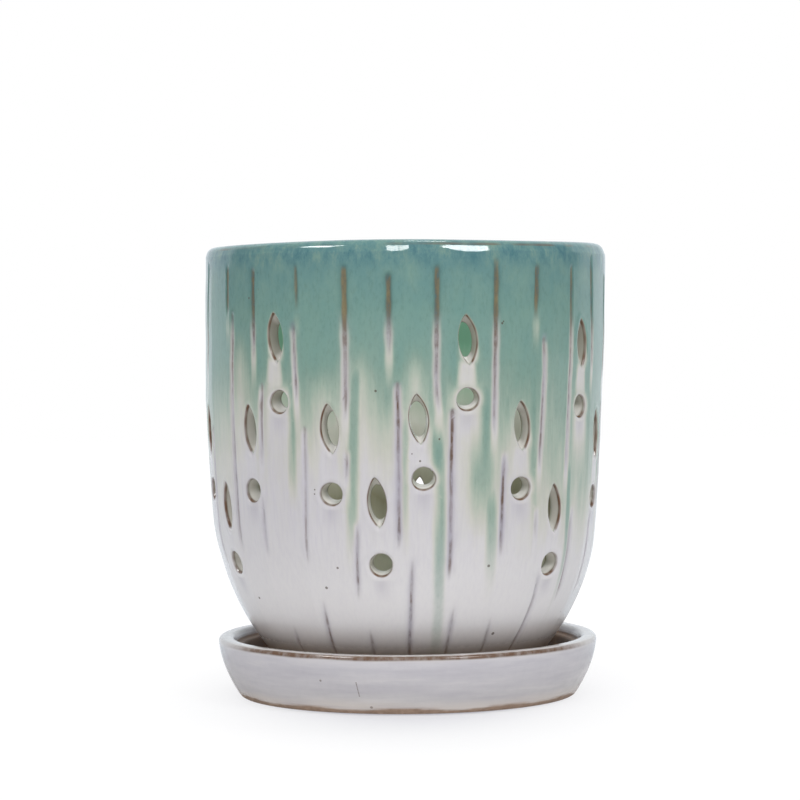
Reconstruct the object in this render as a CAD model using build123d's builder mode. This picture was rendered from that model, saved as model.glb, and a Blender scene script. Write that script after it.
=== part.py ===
"""Glazed orchid pot with pierced walls, standing in its own saucer. Millimetres, +Z up, front at -Y.

The origin is on the ground, under the middle of the saucer.
"""

import os
from math import radians, sqrt, tan

from build123d import *

os.makedirs("parts", exist_ok=True)

# Pot: outside shape, heights measured from its own foot
pot_height = 176.5
pot_diameter = 165.0
rim_inset = 0.2
widest_drop = 22.0
waist_inset = 3.25
waist_height = 66.0
foot_diameter = 98.0
foot_rise = 2.5
foot_width = 7.0

# Pot: clay thickness, floor and drain
pot_wall = 6.5
floor_round = 6.0
drain_diameter = 22.0
rim_outer_round = 0.6 * pot_wall
rim_inner_round = 0.35 * pot_wall

# Pot: each cut is a pointed slot with a round hole below it
slot_length = 20.0
slot_width = 8.0
slot_tilt = 5.0
hole_diameter = 9.4

# Three tiers of cuts: how far each tier's slots lie below the rim
upper_tier_drop = 39.0
middle_tier_drop = 73.0
lower_tier_drop = 104.0

# Hand-cut pairs of each tier: bearing from the front in degrees, towards +X,
# rise of the slot above its tier, and drop from the slot to its hole, both in slot lengths
upper_pairs = [
    (-90, 0.03, 1.2),
    (-38, 0.075, 1.255),
    (17, 0.0, 1.145),
    (59, -0.085, 1.245),
    (111, 0.04, 1.175),
    (145, -0.03, 1.23),
    (187.5, 0.05, 1.19),
    (232, -0.02, 1.21),
]
middle_pairs = [
    (-78, -0.075, 1.2),
    (-49, -0.02, 1.21),
    (-21.5, 0.0, 1.26),
    (4, 0.18, 1.145),
    (34, 0.02, 1.22),
    (73, -0.215, 1.26),
    (98, 0.04, 1.18),
    (124, -0.05, 1.22),
    (164, -0.14, 1.24),
    (199, 0.03, 1.17),
    (219.5, -0.06, 1.23),
    (248, 0.05, 1.2),
]
lower_pairs = [
    (-64, -0.035, 1.145),
    (-8, 0.125, 1.215),
    (47.6, -0.08, 1.105),
    (111, 0.03, 1.18),
    (176, -0.21, 1.2),
    (234, -0.02, 1.19),
]

# Saucer
saucer_height = 24.5
saucer_floor = 8.0
saucer_flare = 20.6
saucer_bulge = 1.8
saucer_rim_width = 6.4
saucer_gap = 10.5
saucer_rim_round = 1.8
saucer_lip_round = 1.2
saucer_step_drop = 3.8
saucer_step_width = 2.0
saucer_step_round = 0.8
saucer_well_round = 5.0
saucer_base_round = 1.2
saucer_foot_width = 8.0
saucer_foot_depth = 1.5

# The pot stands face to face on the saucer's floor
foot_z = saucer_floor
heel_z = foot_z + foot_rise
waist_z = foot_z + waist_height
rim_z = foot_z + pot_height
widest_z = rim_z - widest_drop
pot_radius = pot_diameter / 2
foot_radius = foot_diameter / 2

with BuildPart() as pot:
    # Outside shape: an almost upright wall that turns into a round bowl
    with BuildSketch(Plane.XZ):
        with BuildLine():
            wall_curve = ThreePointArc(
                (pot_radius - rim_inset, rim_z),
                (pot_radius, widest_z),
                (pot_radius - waist_inset, waist_z),
            )
            bowl_curve = TangentArc(wall_curve @ 1, (foot_radius, heel_z), tangent=wall_curve % 1)
            Polyline(bowl_curve @ 1, (0, heel_z), (0, rim_z), wall_curve @ 0)
        make_face()
    revolve(axis=Axis.Z)

    # Hollow inside, with a soft corner round the floor
    offset(amount=-pot_wall, openings=pot.faces().sort_by(Axis.Z)[-1])
    floor_face = pot.faces().filter_by(GeomType.PLANE).sort_by(Axis.Z)[1]
    fillet(floor_face.edges(), floor_round)

    # Rounded rim
    rim_edges = pot.faces().sort_by(Axis.Z)[-1].edges().sort_by(SortBy.LENGTH)
    fillet(rim_edges[-1], rim_outer_round)
    rim_edges = pot.faces().sort_by(Axis.Z)[-1].edges().sort_by(SortBy.LENGTH)
    fillet(rim_edges[0], rim_inner_round)

    # Foot ring, and the drain hole through the floor
    with BuildSketch(Plane.XY.offset(foot_z)):
        Circle(foot_radius)
        Circle(foot_radius - foot_width, mode=Mode.SUBTRACT)
    extrude(amount=foot_rise)
    with Locations((0, 0, heel_z + pot_wall)):
        Hole(drain_diameter / 2)

    # Slots and holes, cut square to the wall's bearing
    tiers = (
        (upper_tier_drop, upper_pairs),
        (middle_tier_drop, middle_pairs),
        (lower_tier_drop, lower_pairs),
    )
    for tier_drop, pairs in tiers:
        for bearing, slot_rise, hole_drop in pairs:
            outward = Vector(0, -1, 0).rotate(Axis.Z, bearing)
            slot_z = rim_z - tier_drop + slot_rise * slot_length
            slot_centre = outward * pot_radius + Vector(0, 0, slot_z)
            across = Vector(0, 0, 1).cross(outward)
            with BuildSketch(Plane(slot_centre, x_dir=across, z_dir=outward)):
                with BuildLine(Location((0, 0, 0), (0, 0, slot_tilt))):
                    ThreePointArc((0, slot_length / 2), (slot_width / 2, 0), (0, -slot_length / 2))
                    ThreePointArc((0, -slot_length / 2), (-slot_width / 2, 0), (0, slot_length / 2))
                make_face()
                with Locations((0, -hole_drop * slot_length)):
                    Circle(hole_diameter / 2)
    extrude(amount=-pot_radius / 2, mode=Mode.SUBTRACT)

pot.part.label = "pot"
export_step(pot.part, "parts/pot.step")

# The saucer's rim stands clear of the pot's bowl all round
bowl_centre = bowl_curve.arc_center
bowl_at_rim = bowl_centre.X + sqrt(bowl_curve.radius**2 - (saucer_height - bowl_centre.Y) ** 2)
rim_inside = bowl_at_rim + saucer_gap
rim_outside = rim_inside + saucer_rim_width
flare_slope = tan(radians(saucer_flare))
base_radius = rim_outside - saucer_height * flare_slope
step_z = saucer_height - saucer_step_drop
step_outside = rim_inside - saucer_step_drop * flare_slope
step_inside = step_outside - saucer_step_width
well_radius = step_inside - (step_z - saucer_floor) * flare_slope
recess_radius = base_radius - saucer_foot_width

with BuildPart() as saucer:
    # Flared dish with a gently rounded side, a small step inside its rim and a recessed underside
    with BuildSketch(Plane.XZ) as section:
        with BuildLine():
            outer_curve = SagittaArc((rim_outside, saucer_height), (base_radius, 0), saucer_bulge)
            Polyline(
                outer_curve @ 1,
                (recess_radius, 0),
                (recess_radius, saucer_foot_depth),
                (0, saucer_foot_depth),
                (0, saucer_floor),
                (well_radius, saucer_floor),
                (step_inside, step_z),
                (step_outside, step_z),
                (rim_inside, saucer_height),
                outer_curve @ 0,
            )
        make_face()
        corner_rounds = (
            (base_radius, 0, saucer_base_round),
            (rim_outside, saucer_height, saucer_rim_round),
            (rim_inside, saucer_height, saucer_lip_round),
            (step_outside, step_z, saucer_step_round),
            (step_inside, step_z, saucer_step_round),
            (well_radius, saucer_floor, saucer_well_round),
        )
        for corner_radius, corner_z, corner_round in corner_rounds:
            corner = section.vertices().sort_by_distance((corner_radius, corner_z, 0))[0]
            fillet(corner, corner_round)
    revolve(axis=Axis.Z)

saucer.part.label = "saucer"
export_step(saucer.part, "parts/saucer.step")
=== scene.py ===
import math

import bpy
import numpy as np
from mathutils import Matrix, Vector


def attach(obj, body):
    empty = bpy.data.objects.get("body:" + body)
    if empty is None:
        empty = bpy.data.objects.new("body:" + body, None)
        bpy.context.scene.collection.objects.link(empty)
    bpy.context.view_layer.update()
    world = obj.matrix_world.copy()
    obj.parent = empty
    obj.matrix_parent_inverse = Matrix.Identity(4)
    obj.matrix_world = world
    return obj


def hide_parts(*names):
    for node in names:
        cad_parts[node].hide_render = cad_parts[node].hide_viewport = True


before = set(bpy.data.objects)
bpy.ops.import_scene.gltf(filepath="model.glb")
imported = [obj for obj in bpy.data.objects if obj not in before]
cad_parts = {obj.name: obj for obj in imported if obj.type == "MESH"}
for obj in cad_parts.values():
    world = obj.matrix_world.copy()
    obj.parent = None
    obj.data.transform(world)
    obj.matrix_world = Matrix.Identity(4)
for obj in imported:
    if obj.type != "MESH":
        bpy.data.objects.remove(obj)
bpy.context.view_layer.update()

rng = np.random.default_rng(20417)

# Sizes of the pot in millimetres, as in the solids
RIM_Z, WAIST_Z, FLOOR_Z = 184.5, 74, 17
FOOT_R, FOOT_IN, CLAY = 49, 42, 6.5
SLOT_L, SLOT_W, TILT, HOLE_R = 20, 8, 5, 4.7
# The wall's two arcs, above and below its waist: radius and height of the centre, and size
WALL_ARC = (-1124.7837, 162.5256, 1207.2837)
BOWL_ARC = (-17.4482, 81.1097, 96.9592)

# Tiers of cuts: drop below the rim, then pairs as bearing in degrees from the front towards +X,
# rise of the slot above its tier, and drop from the slot to its hole, both in slot lengths
TIERS = [
    (39, [(-90, 0.03, 1.2), (-38, 0.075, 1.255), (17, 0, 1.145), (59, -0.085, 1.245),
          (111, 0.04, 1.175), (145, -0.03, 1.23), (187.5, 0.05, 1.19), (232, -0.02, 1.21)]),
    (73, [(-78, -0.075, 1.2), (-49, -0.02, 1.21), (-21.5, 0, 1.26), (4, 0.18, 1.145),
          (34, 0.02, 1.22), (73, -0.215, 1.26), (98, 0.04, 1.18), (124, -0.05, 1.22),
          (164, -0.14, 1.24), (199, 0.03, 1.17), (219.5, -0.06, 1.23), (248, 0.05, 1.2)]),
    (104, [(-64, -0.035, 1.145), (-8, 0.125, 1.215), (47.6, -0.08, 1.105),
           (111, 0.03, 1.18), (176, -0.21, 1.2), (234, -0.02, 1.19)]),
]
# Sideways shifts of the slot and the hole of some pairs, by the pair's bearing
ASIDE = {-38: (-0.6, 0.9), 4: (-1, 0.9), -8: (-0.6, 0.4)}

# Carved grooves on the side in view: (bearing, height) along each, half width, strength
GROOVES = [
    ([(-76, 176.7), (-77.2, 165.9), (-78.6, 132.5)], 1, 0.9),
    ([(-59.6, 174.9), (-59.3, 154.6)], 1, 1),
    ([(-56.7, 156.2), (-57.1, 134.4), (-57.2, 78.5), (-57.2, 60.8)], 1, 0.8),
    ([(-46.9, 173.4), (-46.6, 138.3)], 1.1, 1),
    ([(-31.3, 174.3), (-30.8, 156.6)], 0.8, 0.7),
    ([(-32.2, 151.4), (-31.6, 132.8), (-31.2, 121.2)], 1, 0.9),
    ([(-16.8, 173.3), (-16.6, 132.8), (-16.8, 115)], 1.25, 1),
    ([(-4.6, 170), (-4.6, 138.4)], 1.1, 1),
    ([(8.5, 173.1), (8.1, 132.5), (8.4, 122.7), (8.9, 117.5)], 1.1, 1),
    ([(25.3, 176.2), (24.9, 132.3), (24.8, 108.3)], 1.1, 1),
    ([(38.6, 173.7), (38.1, 152.8)], 1.1, 1),
    ([(41.2, 145.8), (41.6, 132), (41, 112.6), (40.3, 94)], 1.1, 0.9),
    ([(52.7, 174), (52.6, 131.8), (52.2, 108.1), (51.9, 91)], 0.9, 0.8),
    ([(64.2, 178.3), (65.8, 131.5)], 0.9, 0.8),
    ([(56.7, 79.5), (55.9, 68), (56.1, 53.8), (56.1, 40.4)], 1, 0.8),
    ([(-72.2, 111.2), (-72.8, 79.3), (-72.8, 63.8), (-73.2, 53.9)], 1, 0.8),
    ([(-43.5, 128.5), (-44.1, 113.4), (-44.5, 95.9)], 1, 0.8),
    ([(-44.8, 85.6), (-44.9, 67.1), (-44.9, 59.6)], 1, 0.7),
    ([(-29, 111.9), (-29.3, 90.3), (-30.3, 57.6)], 1, 0.6),
    ([(-2.4, 129), (-2.3, 106.1), (-2.4, 64.3)], 1.2, 1.15),
    ([(12.7, 118.6), (12.4, 99.7), (12.3, 52.2)], 1.25, 1.2),
    ([(-16.6, 104), (-16.8, 90)], 1, 1.1),
    ([(28.2, 102.7), (27.9, 81.3), (27.9, 60.3)], 1.3, 1.2),
    ([(39.7, 80.7), (39.8, 65.9)], 0.9, 0.5),
    ([(-27.3, 44.5), (-27.9, 34.5), (-28.5, 25.9), (-28.4, 14)], 1, 0.8),
    ([(-42.8, 33.1), (-44.6, 24.7), (-44.2, 14)], 1, 0.8),
    ([(-14, 76.4), (-15.3, 44.3)], 1, 0.85),
    ([(1.5, 62.7), (0.8, 38.1), (0.5, 26.6), (0.4, 14)], 1.1, 1),
    ([(14.6, 42.8), (14.3, 26.2), (13.9, 14)], 1, 0.8),
    ([(-12.9, 33.3), (-12.9, 26.5), (-12.5, 14)], 1, 0.8),
    ([(43.2, 56.4), (44, 42.9), (43.4, 31.3), (41.9, 14)], 1, 0.8),
    ([(28.2, 36.9), (28.8, 25.4), (28.3, 14)], 1, 0.6),
    ([(70.4, 78.3), (69.6, 64), (69.6, 51.2), (70.2, 41.4)], 1, 0.7),
]
# Green runs of glaze on the side in view: bearing and height of top and bottom, half width, strength
RUNS = [
    (-66, 150, -65.5, 116, 8, 0.55),
    (-32.8, 128, -33.6, 84.1, 2.1, 0.95),
    (-28.2, 134, -28.5, 113, 2.8, 0.8),
    (-20.4, 136, -20.4, 122, 1.6, 0.7),
    (-13.8, 135, -16.2, 57.9, 2.3, 0.85),
    (-5.2, 132, -5.4, 103.8, 2.6, 0.85),
    (-0.5, 114, -0.7, 63.9, 1.6, 0.55),
    (11.2, 152, 8.5, 100, 2.7, 1),
    (8.4, 110, 10.3, 6, 2.4, 0.95),
    (6.6, 150, 6.9, 98, 1.7, 0.9),
    (28.6, 126, 29.6, 96, 1.6, 0.8),
    (21, 128, 21.3, 70, 5.6, 1),
    (24.1, 84, 25.5, 42, 2.4, 0.7),
    (37.8, 124, 39, 62.1, 2.2, 0.8),
    (46.8, 126, 47.2, 93, 3, 0.8),
    (53.7, 95, 54.9, 32, 1.8, 0.9),
    (61.5, 112, 63, 71.6, 3.6, 0.75),
]
# Pale patches that reach up into the green on the side in view: bearing, top, half width
PALE = [(-11.9, 146, 3.6), (2.3, 144, 3.2), (-41, 132, 4), (13.8, 128, 3),
        (30.5, 122, 2.6), (-53, 151, 5), (-23.8, 136, 4.5)]
# Bearings of the edges between the flats of the wall
SEEN_EDGES = [-84, -72, -58.5, -46, -31.2, -16.8, -3.6, 8.6, 25.6, 39.8, 52.6, 66]
HIDDEN_EDGES = [79 + 12.1 * i for i in range(16)]

# How much brown lies at the foot of the wall, by height: bare clay low down, and above the saucer's rim
# painted shade with a painted reflection of the saucer's brown well
CLAY_AND_SHADE_Z = [18, 21, 24, 27, 34]
CLAY_AND_SHADE_AMOUNT = [0.95, 0.8, 0.45, 0.2, 0]
# How much green glaze lies on the wall by height, where it ends high and where it reaches low
GLAZE_Z = [60, 75, 86, 98, 112, 126, 138, 150, 172]
GLAZE_HIGH = [0, 0, 0.01, 0.05, 0.19, 0.46, 0.68, 0.77, 1]
GLAZE_LOW = [0.02, 0.13, 0.26, 0.38, 0.48, 0.57, 0.68, 0.77, 1]
# The height at which the green fades, by bearing
FADE = [(-90, 118), (-75, 124), (-62, 127), (-52, 132), (-40, 131), (-30, 131), (-20, 129), (-10, 131),
        (0, 131), (10, 128), (20, 122), (30, 112), (40, 106), (50, 100), (60, 96), (72, 94), (88, 106),
        (110, 121), (130, 108), (150, 125), (170, 131), (190, 118), (210, 127), (230, 110), (250, 122),
        (270, 118), (282, 116)]
FADE_HIGH, FADE_SPAN = 131, 35
# How green the glaze inside the pot is, by height
INNER_Z = [42, 60, 75, 92, 110, 125, 146]
INNER_AMOUNT = [0, 0.12, 0.25, 0.42, 0.6, 0.8, 1]


def step(a, b, x):
    """A smooth step from 0 at a to 1 at b, which may be the lower one."""
    t = np.clip((x - a) / (b - a), 0, 1)
    return t * t * (3 - 2 * t)


def hump(x, width, power=2):
    """1 in the middle, falling to 0 on both sides over about the width."""
    return np.exp(-(np.abs(x / width) ** power))


def turn(d):
    """Degrees brought to between -180 and 180."""
    return (d + 180) % 360 - 180


def across(angle, r):
    """Length of the arc of an angle in degrees."""
    return turn(angle) * r * math.pi / 180


def even_angles(count):
    return np.linspace(0, 2 * np.pi, count, endpoint=False)


def arc_of(z):
    low = (z < WAIST_Z)[..., None]
    return np.where(low, BOWL_ARC, WALL_ARC)


def radius(z, inset=0):
    z = np.asarray(z, float)
    a = arc_of(z)
    return a[..., 0] + np.sqrt(np.maximum((a[..., 2] - inset) ** 2 - (z - a[..., 1]) ** 2, 1))


def wall_point(b, z, rise=0, inset=0):
    """A point of the wall at bearing and height, moved outward along the wall's normal."""
    z = np.asarray(z, float)
    a = arc_of(z)
    r = radius(z, inset)
    nr, nz = (r - a[..., 0]) / (a[..., 2] - inset), (z - a[..., 1]) / (a[..., 2] - inset)
    r, z = r + nr * rise, z + nz * rise
    t = np.radians(b)
    return np.stack([r * np.sin(t), -r * np.cos(t), z + 0 * t], -1)


def running_length(r, z):
    """Length along a section from its first point to each of its points."""
    return np.concatenate([[0], np.cumsum(np.hypot(np.diff(r), np.diff(z)))])


def waves(b, count, low, high, seed):
    """A smooth ring of random waves round the pot, about -1 to 1."""
    g = np.random.default_rng(seed)
    k = g.integers(low, high, count)
    p = g.uniform(0, 2 * np.pi, count)
    return np.sin(np.radians(np.asarray(b, float))[..., None] * k + p).sum(-1) / math.sqrt(count)


# Cuts
CUT_POINTS = 96
MID_R = 81


class Piercing:
    """A slot or hole: its loops outside and inside, and the half size of the window round it."""

    def __init__(self, bearing, z, slot, seed, aside):
        g = np.random.default_rng(seed)
        self.b, self.z, self.slot = bearing + math.degrees(aside / MID_R), z, slot
        self.t = t = even_angles(CUT_POINTS)
        wob = 1 + 0.018 * np.sin(2 * t + g.uniform(0, 6)) + 0.012 * np.sin(3 * t + g.uniform(0, 6))
        if slot:
            self.out = self.lens((SLOT_W / 2 - 0.3) * wob, SLOT_L / 2 - 0.2, 0, 1.7)
            in_view = abs(turn(bearing)) < 95
            self.inn = self.lens(3.1, 6.7, 0.25, 1) if in_view else self.lens(3.2, 9.3, 0.15, 1.6)
            self.half = (6.8, 12.2)
        else:
            self.out = (HOLE_R - 0.2) * np.stack([wob * np.cos(t), wob * np.sin(t)], -1)
            self.inn = np.stack([0.15 + 3.85 * np.cos(t), 1.1 + 3.4 * np.sin(t)], -1)
            self.half = (7.2, 7.2)

    def lens(self, half_width, half_length, lift, power):
        """A pointed loop, tilted like the slots."""
        c, s = np.cos(self.t), np.sin(self.t)
        u, v = half_width * np.sign(c) * np.abs(c) ** power, lift + half_length * s
        a = math.radians(TILT)
        return np.stack([u * math.cos(a) - v * math.sin(a), u * math.sin(a) + v * math.cos(a)], -1)

    def local(self, b, z, inset=0):
        """Places on the wall as distances across and up from the middle of the cut."""
        return radius(z, inset) * np.sin(np.radians(turn(b - self.b))), z - self.z

    def place(self, uv, inset=0):
        """Bearings and heights of a loop of the cut."""
        z = self.z + uv[:, 1]
        return self.b + np.degrees(np.arcsin(np.clip(uv[:, 0] / radius(z, inset), -1, 1))), z


def loop_distance(q, loop):
    """How far each point q lies from the closed loop."""
    along = np.roll(loop, -1, 0) - loop
    rel = q[:, None, :] - loop[None]
    t = np.clip((rel * along).sum(-1) / (along**2).sum(-1), 0, 1)
    return np.sqrt(((rel - t[..., None] * along) ** 2).sum(-1)).min(1)


def grown(loop, d):
    """The closed loop moved outward by d."""
    along = np.roll(loop, -1, 0) - np.roll(loop, 1, 0)
    along = along + 0.5 * (np.roll(along, 1, 0) + np.roll(along, -1, 0))
    n = np.stack([along[:, 1], -along[:, 0]], -1)
    return loop + d * n / np.linalg.norm(n, axis=1)[:, None]


PIERCINGS = []
for tier, (drop, pairs) in enumerate(TIERS):
    for i, (bearing, rise, fall) in enumerate(pairs):
        slot_z = RIM_Z - drop + rise * SLOT_L
        slot_aside, hole_aside = ASIDE.get(bearing, (0, 0))
        seed = 100 * tier + i
        PIERCINGS.append(Piercing(bearing, slot_z, True, seed, slot_aside))
        PIERCINGS.append(Piercing(bearing, slot_z - fall * SLOT_L, False, 500 + seed, hole_aside))


def clear_of_cuts(b, low, high, room):
    for p in PIERCINGS:
        reach = 12 if p.slot else 7
        if abs(turn(b - p.b)) < room and p.z - reach < high and p.z + reach > low:
            return False
    return True


# The hidden side goes on in the same hand: grooves, runs and pale patches between its cuts
at = 79
while at < 272:
    for top, reach in ((174, (36, 66)), (118, (24, 56)), (52, (30, 38))):
        high = top + rng.uniform(-7, 3)
        low = max(high - rng.uniform(*reach), 14)
        for shift in (0, 3, -3, 5.5, -5.5):
            if clear_of_cuts(at + shift, low, high, 5.6):
                drift, width, strength = rng.uniform(-1.2, 1.2), rng.uniform(0.9, 1.2), rng.uniform(0.7, 1.05)
                GROOVES.append(([(at + shift, high), (at + shift + drift, low)], width, strength))
                break
    if rng.uniform() < 0.75:
        top = rng.uniform(118, 134)
        side = at + rng.uniform(2, 5)
        end, low = side + rng.uniform(-2, 2), top - rng.uniform(20, 74)
        RUNS.append((side, top, end, low, rng.uniform(1.7, 4.2), rng.uniform(0.6, 0.9)))
    if rng.uniform() < 0.4:
        PALE.append((at + rng.uniform(5, 8), rng.uniform(128, 144), rng.uniform(2.4, 3.8)))
    at += rng.uniform(10.5, 14.5)

PANELS = np.sort(turn(np.array(SEEN_EDGES + HIDDEN_EDGES)))


# Relief and masks of the outer wall
def hand_shape(b, z, r):
    """Flats between the grooves, the pot's slight lean and the unevenness of hand work."""
    k = np.searchsorted(PANELS, b)
    left = np.where(k > 0, PANELS[k - 1], PANELS[-1] - 360)
    right = np.where(k < len(PANELS), PANELS[k % len(PANELS)], PANELS[0] + 360)
    half = np.radians((right - left) / 2)
    off = np.radians(b - (left + right) / 2)
    body = step(20, 50, z) * (1 - step(166, 180, z))
    flats = -0.5 * r * (1 - np.cos(half) / np.cos(off)) * body
    lean = 0.75 * step(52, 74, z) * (1 - step(118, 150, z)) - 0.3 * step(158, 175, z)
    sway = 0.1 * waves(b, 5, 2, 6, 3) * step(12, 40, z)
    ripple = 0.03 * np.sin(z * 0.43 + waves(b, 3, 1, 4, 8)) * body
    return flats - lean * np.sin(np.radians(b)) + (sway + ripple)


def carve_grooves(b, z, r, rise):
    """Cuts the grooves into rise. Returns masks of their cores, the painted shade at their sides and the
    white beside them.
    """
    core, edge, halo = np.zeros((3, len(z)))
    for points, width, strength in GROOVES:
        bs, zs = np.array(points).T
        top, foot = zs[0], zs[-1]
        m = (np.abs(turn(b - bs.mean())) < 14) & (z < top + 4) & (z > foot - 18)
        if not m.any():
            continue
        zz = z[m]
        line = np.interp(zz, zs[::-1], bs[::-1]) + 0.03 * np.sin(zz * 0.31 + bs[0])
        u = np.abs(across(b[m] - line, r[m]))
        up = step(126, 160, zz)
        taper = 0.6 if top > 110 else 9
        ends = step(foot - 1, foot + 9, zz) * (1 - step(top - taper, top + 1.2, zz))
        wide = width * (0.62 + 0.48 * up) * (1 + 0.1 * np.sin(zz * 0.57 + 3 * bs[0]))
        # the cut itself, with a slight bead along it
        dent = np.clip(1 - (u / (width * (1.15 + 0.15 * up))) ** 2, 0, 1) ** 1.3
        beside = hump(u - 1.15 * width - 0.6, 0.5)
        rise[m] += strength * ends * (-0.6 * dent + 0.08 * beside)
        # its colour, which comes and goes along its lower part
        slow = 1 - (1 - up) * (0.28 - 0.28 * np.sin(zz * 0.12 + 2.6 * bs[0]))
        core[m] = np.maximum(core[m], slow * strength * ends * step(0, 0.55, 1 - u / wide))
        # painted shade: a soft darkening along both sides of the groove
        soft = wide + 0.75 - 0.45 * up
        cap = np.maximum(ends, (1 - step(top + 0.5, top + 3.2, zz)) * step(top - 4, top, zz) * up)
        edge[m] = np.maximum(edge[m], strength * cap * hump(u, soft))
        # white glaze beside it and below it
        tail = step(foot - 15, foot + 2, zz) * (1 - step(top - 3, top + 1, zz))
        spread = hump(u, wide + 1.05 - 0.3 * up, 4)
        halo[m] = np.maximum(halo[m], tail * (1 - 0.22 * up) * spread * (1 - step(147, 161, zz)))
    return core, edge, halo


def green_glaze(b, z, r):
    """Green glaze that thins out downwards, with its pale patches and its runs."""
    fade = np.interp(b, *np.array(FADE).T, period=360)
    share = np.clip((FADE_HIGH - fade) / FADE_SPAN, 0, 1)
    shifted = z - (1 - step(132, 165, z)) * 2.5 * waves(b, 6, 8, 36, 21)
    high, low = np.interp(shifted, GLAZE_Z, GLAZE_HIGH), np.interp(shifted, GLAZE_Z, GLAZE_LOW)
    glaze = high * (1 - share) + low * share
    for bearing, top, width in PALE:
        u = across(b - bearing, r)
        glaze *= 1 - 0.6 * hump(u, width) * (1 - step(top - 18, top + 4, z))
    for b0, z0, b1, z1, width, strength in RUNS:
        t = np.clip((z0 - z) / (z0 - z1), 0, 1)
        u = across(b - b0 - (b1 - b0) * t, r)
        along = (1 - step(z0 - 6, z0 + 12, z)) * step(z1 - 8, z1 + 26, z)
        run = 0.72 * strength * (1 - 0.5 * t) * along * hump(u, width, 3.2)
        glaze = np.maximum(glaze, run)
    return glaze


def flow_from_cuts(b, z, white, edge):
    """Adds white below each cut and a painted shadow under each hole. Returns the distance to the nearest
    cut.
    """
    lip, near = np.full_like(z, 9), np.zeros_like(z)
    for p in PIERCINGS:
        m = np.where((np.abs(turn(b - p.b)) < 13) & (np.abs(z - p.z) < 36))[0]
        if not len(m):
            continue
        u, v = p.local(b[m], z[m])
        if p.slot:
            wide = 3.7 + 0.08 * np.clip(-v - 10, 0, 14)
            run = hump(u + 0.45, wide, 7) * (1 - step(-10, -4, v)) * step(-36, -14, v)
        else:
            run = hump(u, 6.1, 6) * (1 - step(-3, 3, v)) * step(-34, -8, v)
            # painted shadow under the hole
            shade = 0.7 * hump(u, 3) * (1 - step(-6.6, -4.9, v)) * step(-16, -5.5, v)
            edge[m] = np.maximum(edge[m], shade)
        white[m] = np.maximum(white[m], 0.97 * run)
        close = (np.abs(u) < 10) & (np.abs(v) < (16 if p.slot else 10))
        m, u, v = m[close], u[close], v[close]
        if len(m):
            d = loop_distance(np.stack([u, v], -1), p.out)
            lip[m] = np.minimum(lip[m], d)
            reach = 0.45 + 1.3 * (1 - step(-8, -1, v)) if p.slot else 2.3
            near[m] = np.maximum(near[m], hump(d, reach))
    np.maximum(white, 0.97 * near, out=white)
    return lip


def paint(b, z):
    """Relief and masks of the outer wall at bearings b and heights z, and the distance to the nearest cut."""
    b, z = turn(np.asarray(b, float)), np.asarray(z, float)
    r = radius(z)
    rise = hand_shape(b, z, r)
    core, edge, halo = carve_grooves(b, z, r, rise)
    white = 0.95 * halo
    lip = flow_from_cuts(b, z, white, edge)
    clear = 1 - hump(lip, 1.6)
    masks = {
        "glaze": green_glaze(b, z, r) * (1 - 0.96 * white),
        "groove": core * clear,
        "gedge": edge * clear,
        "ochre": step(146, 159, z),
        # bare clay low on the wall; above the saucer's rim painted shade and a painted reflection of the
        # saucer's brown well
        "clay": np.interp(z, CLAY_AND_SHADE_Z, CLAY_AND_SHADE_AMOUNT),
        # painted light: marks the lower wall, which is painted lighter
        "low": step(84, 40, z),
    }
    return rise, masks, lip


# Masks at each point: green glaze, groove and the painted shade along it and under holes, ochre tint,
# bare clay with painted shade above the saucer, lower wall that is painted lighter, then brown broken edge,
# pooled white glaze with painted light at the top of slots, wall of a cut, inside, band under the rim and
# height
MASKS = ("glaze", "groove", "gedge", "ochre", "clay", "low", "brk", "pool_and_painted_light", "cut", "inner", "band", "high")
# Kinds of faces on the bake map: wrapped round the piece, or flat on one of two discs with their places
WRAPPED, INSIDE, UNDERSIDE = 0, 1, 2
DISC_PLACES = {INSIDE: (0.13, 0.89), UNDERSIDE: (0.37, 0.89)}
DISC_SPAN = 0.56
WRAP_EDGE, WRAP_WIDTH = 0.004, 0.98


def added(name, data):
    """A new object in the scene."""
    ob = bpy.data.objects.new(name, data)
    bpy.context.scene.collection.objects.link(ob)
    return ob


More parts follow.
